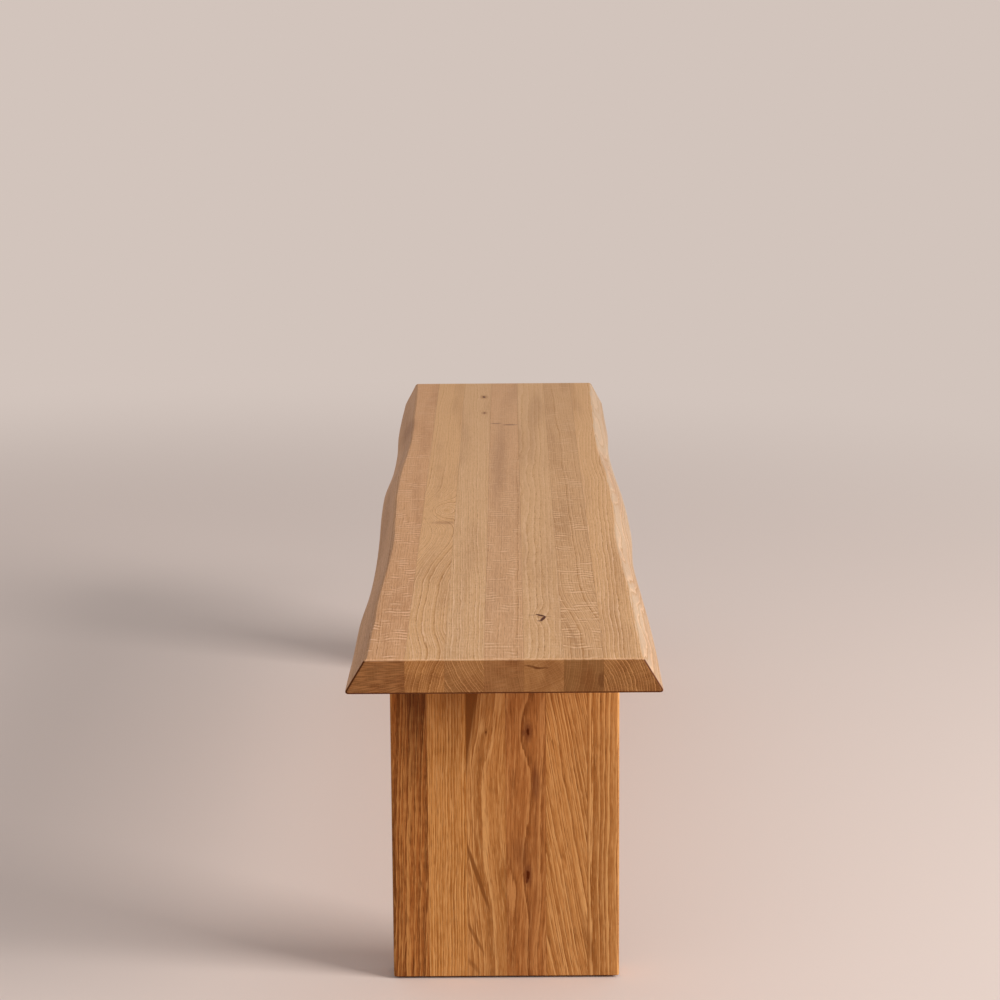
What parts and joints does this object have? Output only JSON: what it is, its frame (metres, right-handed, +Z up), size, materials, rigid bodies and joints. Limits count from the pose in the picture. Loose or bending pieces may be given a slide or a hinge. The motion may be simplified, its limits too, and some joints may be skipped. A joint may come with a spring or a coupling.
{
  "type": "bench",
  "caption": "Long backless bench in solid glued oak: a flat seat board with natural live edges along its sides stands on upright panel legs, joined by steel angle brackets.",
  "frame": {"origin": "centre of the bench on the floor: the middle of the bottom of its bounding box", "axes": "+Z up; +Y along the seat, away from the end that is nearest in the picture; +X across the seat, to the right as seen from that end"},
  "size_m": [0.3531, 1.8, 0.45],
  "materials": {
    "seat_oak": "oiled, satin, sanded smooth",
    "leg_oak": "oiled, satin, sanded smooth",
    "bracket_steel": "black powder coat, fine texture",
    "bolt_steel": "bright zinc plated",
    "insert_steel": "yellow zinc plated",
    "felt": "pressed grey felt"
  },
  "bodies": {
    "root": {"seat_stave_1_live_edge": "seat_oak", "seat_stave_2": "seat_oak", "seat_stave_3": "seat_oak", "seat_stave_4": "seat_oak", "seat_stave_5": "seat_oak", "seat_stave_6": "seat_oak", "seat_stave_7_live_edge": "seat_oak", "near_leg_stave_1": "leg_oak", "near_leg_stave_2": "leg_oak", "near_leg_stave_3": "leg_oak", "near_leg_stave_4": "leg_oak", "near_leg_stave_5": "leg_oak", "near_leg_stave_6": "leg_oak", "far_leg_stave_1": "leg_oak", "far_leg_stave_2": "leg_oak", "far_leg_stave_3": "leg_oak", "far_leg_stave_4": "leg_oak", "far_leg_stave_5": "leg_oak", "far_leg_stave_6": "leg_oak", "near_left_bracket": "bracket_steel", "near_left_seat_outer_bolt": "bolt_steel", "near_left_seat_outer_insert": "insert_steel", "near_left_seat_inner_bolt": "bolt_steel", "near_left_seat_inner_insert": "insert_steel", "near_left_leg_upper_bolt": "bolt_steel", "near_left_leg_upper_insert": "insert_steel", "near_left_leg_lower_bolt": "bolt_steel", "near_left_leg_lower_insert": "insert_steel", "near_left_pad": "felt", "near_right_bracket": "bracket_steel", "near_right_seat_outer_bolt": "bolt_steel", "near_right_seat_outer_insert": "insert_steel", "near_right_seat_inner_bolt": "bolt_steel", "near_right_seat_inner_insert": "insert_steel", "near_right_leg_upper_bolt": "bolt_steel", "near_right_leg_upper_insert": "insert_steel", "near_right_leg_lower_bolt": "bolt_steel", "near_right_leg_lower_insert": "insert_steel", "near_right_pad": "felt", "far_left_bracket": "bracket_steel", "far_left_seat_outer_bolt": "bolt_steel", "far_left_seat_outer_insert": "insert_steel", "far_left_seat_inner_bolt": "bolt_steel", "far_left_seat_inner_insert": "insert_steel", "far_left_leg_upper_bolt": "bolt_steel", "far_left_leg_upper_insert": "insert_steel", "far_left_leg_lower_bolt": "bolt_steel", "far_left_leg_lower_insert": "insert_steel", "far_left_pad": "felt", "far_right_bracket": "bracket_steel", "far_right_seat_outer_bolt": "bolt_steel", "far_right_seat_outer_insert": "insert_steel", "far_right_seat_inner_bolt": "bolt_steel", "far_right_seat_inner_insert": "insert_steel", "far_right_leg_upper_bolt": "bolt_steel", "far_right_leg_upper_insert": "insert_steel", "far_right_leg_lower_bolt": "bolt_steel", "far_right_leg_lower_insert": "insert_steel", "far_right_pad": "felt"}
  },
  "joints": []
}
